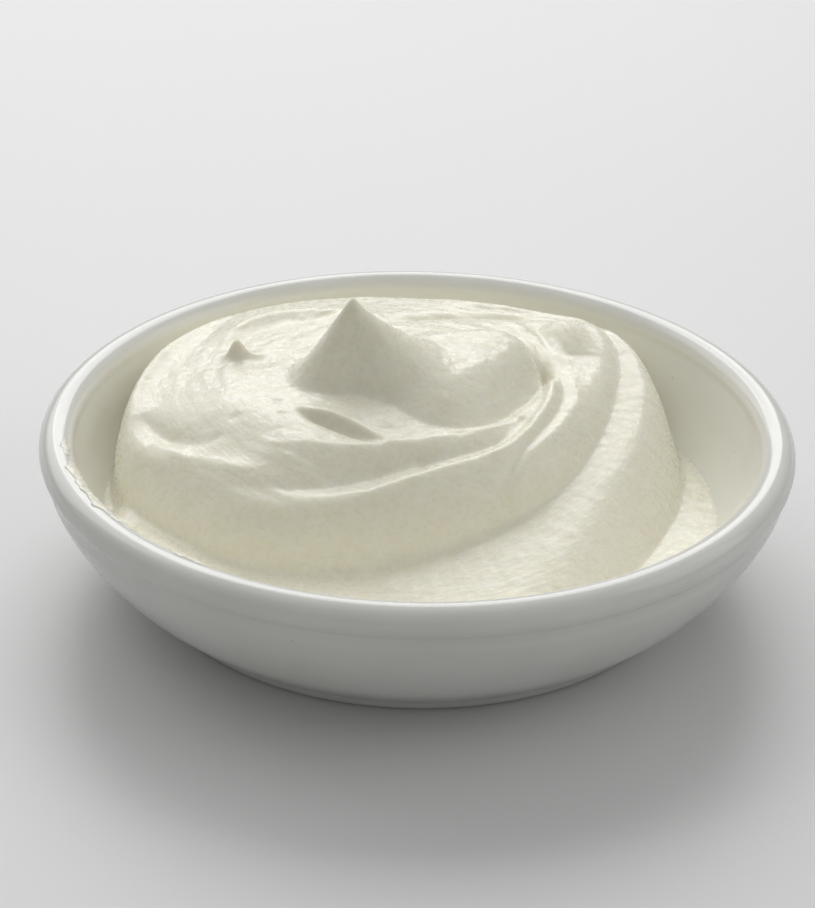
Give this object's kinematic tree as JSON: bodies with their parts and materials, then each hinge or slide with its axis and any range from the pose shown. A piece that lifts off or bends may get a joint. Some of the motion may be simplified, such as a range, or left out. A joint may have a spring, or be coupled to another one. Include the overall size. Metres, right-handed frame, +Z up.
{
  "type": "bowl of yogurt",
  "caption": "Small round white glazed dish with a rolled rim, filled with thick white yogurt in soft swirled folds drawn up to a peak.",
  "frame": {"origin": "centre of the foot's underside, on the table", "axes": "+Z up along the bowl's axis of turning; -Y is the front of the dish and +X its right side; the drawn-up peak stands left of the axis and behind it"},
  "size_m": [0.14, 0.14, 0.0519],
  "materials": {
    "glaze": "clear gloss over white ware",
    "yogurt": "soft moist sheen"
  },
  "bodies": {
    "root": {"bowl": "glaze", "yogurt": "yogurt"}
  },
  "joints": []
}
